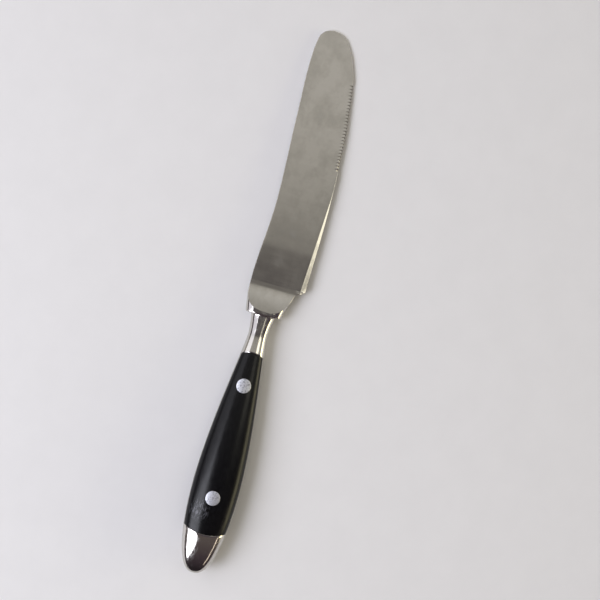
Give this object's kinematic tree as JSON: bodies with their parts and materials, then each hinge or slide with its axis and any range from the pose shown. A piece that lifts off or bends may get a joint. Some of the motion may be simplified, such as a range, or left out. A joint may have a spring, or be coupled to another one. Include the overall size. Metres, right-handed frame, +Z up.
{
  "type": "bread knife",
  "caption": "Table-size bread knife with a round-tipped, finely serrated satin blade, a polished waisted neck, black riveted scales and a bullet-shaped steel pommel.",
  "frame": {"origin": "on the table the knife lies on, under the middle of its bounding box", "axes": "+X along the knife to the blade's tip, -Y the cutting edge, +Y the spine, +Z up from the table; the knife lies on its side, so its own length leans 1.8 degrees down towards the tip, which rests on the table together with the underside of the handle"},
  "size_m": [0.223, 0.0238, 0.0127],
  "materials": {
    "satin_steel": "satin, fine lengthwise grind",
    "polished_steel": "mirror polished",
    "tang_steel": "ground flush with the scales",
    "black_scale": "semi-gloss black acetal",
    "rivet_metal": "satin, ground flush"
  },
  "bodies": {
    "root": {"blade": "satin_steel", "neck_bolster": "polished_steel", "tang_plate": "tang_steel", "pommel_cap": "polished_steel", "upper_scale": "black_scale", "lower_scale": "black_scale", "front_rivet_post": "rivet_metal", "front_rivet_sleeve": "rivet_metal", "rear_rivet_post": "rivet_metal", "rear_rivet_sleeve": "rivet_metal"}
  },
  "joints": []
}
